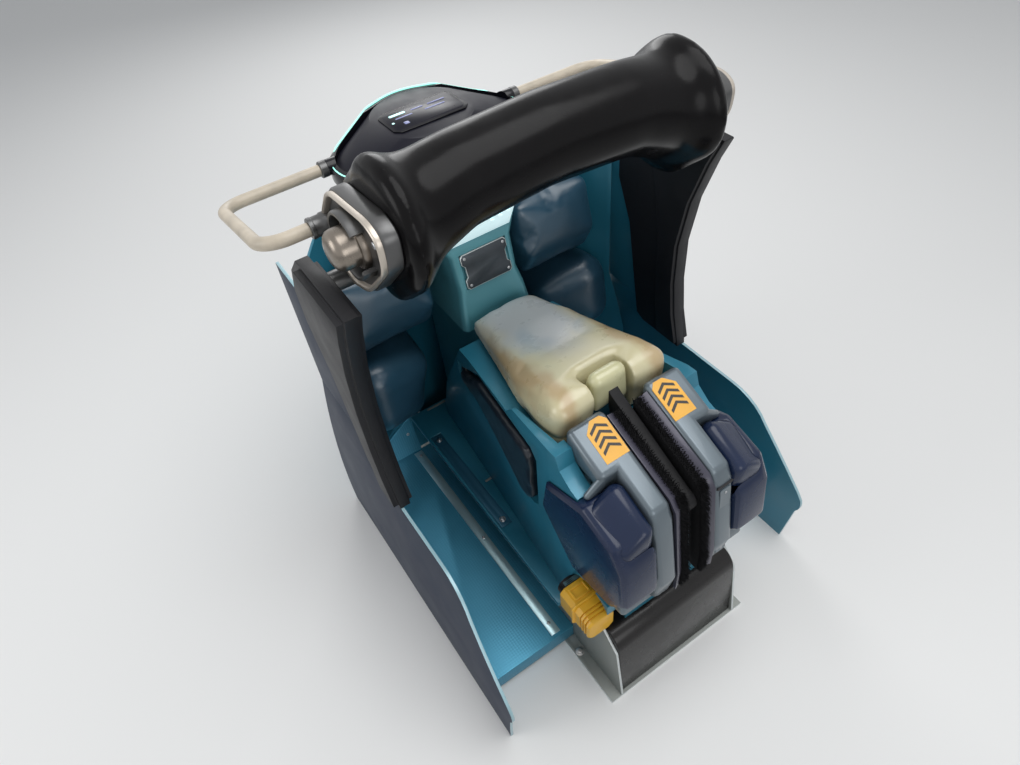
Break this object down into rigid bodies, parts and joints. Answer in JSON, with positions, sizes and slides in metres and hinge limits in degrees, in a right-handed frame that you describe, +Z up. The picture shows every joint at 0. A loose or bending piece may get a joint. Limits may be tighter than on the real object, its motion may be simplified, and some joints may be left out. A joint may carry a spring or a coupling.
{
  "type": "straddle ride seat",
  "caption": "Motorcycle-style ride seat on a floor frame, with footwells, leg fairings, chest pad with handles, hinged calf gates and a back restraint that lifts.",
  "frame": {"origin": "on the floor under the middle of the seat", "axes": "+Z up, +Y the way the rider faces, +X to the rider's right"},
  "size_m": [0.846, 0.932, 1.1031],
  "materials": {
    "frame_paint": "satin grey paint on sheet steel",
    "black_gloss": "gloss black moulding",
    "teal_shell": "satin teal moulding",
    "vent_plate": "pale translucent panel",
    "label_metal": "blank dark plate",
    "cream_vinyl": "smooth cream vinyl",
    "black_paint": "black paint",
    "pin_steel": "turned steel",
    "brush_fibre": "black bristles",
    "silver_shell": "silver paint on a moulding",
    "dark_gloss": "gloss navy moulding",
    "gate_rubber": "black skinned foam",
    "tread_metal": "textured teal sheet",
    "cover_paint": "dark teal paint",
    "wing_paint": "dark navy moulding",
    "pillar_black": "black grained moulding",
    "navy_vinyl": "dark navy vinyl",
    "black_vinyl": "smooth black vinyl",
    "cap_alloy": "satin alloy casting",
    "handle_beige": "beige moulded grip",
    "console_face": "smoked instrument face",
    "yellow_block": "yellow moulding"
  },
  "bodies": {
    "root": {"base_frame": "frame_paint", "side_plate_left": "frame_paint", "side_plate_right": "frame_paint", "heel_box": "black_gloss", "spine_shell": "teal_shell", "column_shell": "teal_shell", "vent_panel": "vent_plate", "label_plate": "label_metal", "front_shell": "teal_shell", "saddle": "cream_vinyl", "restraint_pin": "pin_steel", "brush_left": "brush_fibre", "brush_right": "brush_fibre", "pod_left": "silver_shell", "pod_right": "silver_shell", "pod_panel_left": "dark_gloss", "pod_panel_right": "dark_gloss", "pod_cap_left": "dark_gloss", "pod_cap_right": "dark_gloss", "gate_pin_left": "pin_steel", "gate_pin_right": "pin_steel", "footwell_left": "tread_metal", "footwell_right": "tread_metal", "sill_left": "teal_shell", "sill_right": "teal_shell", "cover_plate_left": "cover_paint", "cover_plate_right": "cover_paint", "wing_left": "wing_paint", "wing_right": "wing_paint", "pillar_left": "pillar_black", "pillar_right": "pillar_black", "knee_pad_left": "navy_vinyl", "knee_pad_right": "navy_vinyl", "shin_pad_left": "navy_vinyl", "shin_pad_right": "navy_vinyl", "chest_pad": "black_vinyl", "end_cap_left": "cap_alloy", "end_cap_right": "cap_alloy", "handle_left": "handle_beige", "handle_right": "handle_beige", "console_hood": "black_gloss", "console_panel": "console_face", "power_block_left": "yellow_block", "power_block_right": "yellow_block"},
    "back_restraint": {"restraint_arm": "black_paint", "restraint_pad": "cream_vinyl"},
    "gate_left": {"calf_gate_left": "gate_rubber"},
    "gate_right": {"calf_gate_right": "gate_rubber"}
  },
  "joints": [
    {"name": "back_restraint_lift", "type": "hinge", "parent": "root", "child": "back_restraint", "pos_m": [0, -0.405, 0.52], "axis": [1, 0, 0], "range_deg": [0, 55]},
    {"name": "gate_left_swing", "type": "hinge", "parent": "root", "child": "gate_left", "pos_m": [-0.107, 0.13, 0.468], "axis": [0, 0, -1], "range_deg": [0, 42]},
    {"name": "gate_right_swing", "type": "hinge", "parent": "root", "child": "gate_right", "pos_m": [0.107, 0.13, 0.468], "axis": [0, 0, 1], "range_deg": [0, 42]}
  ]
}
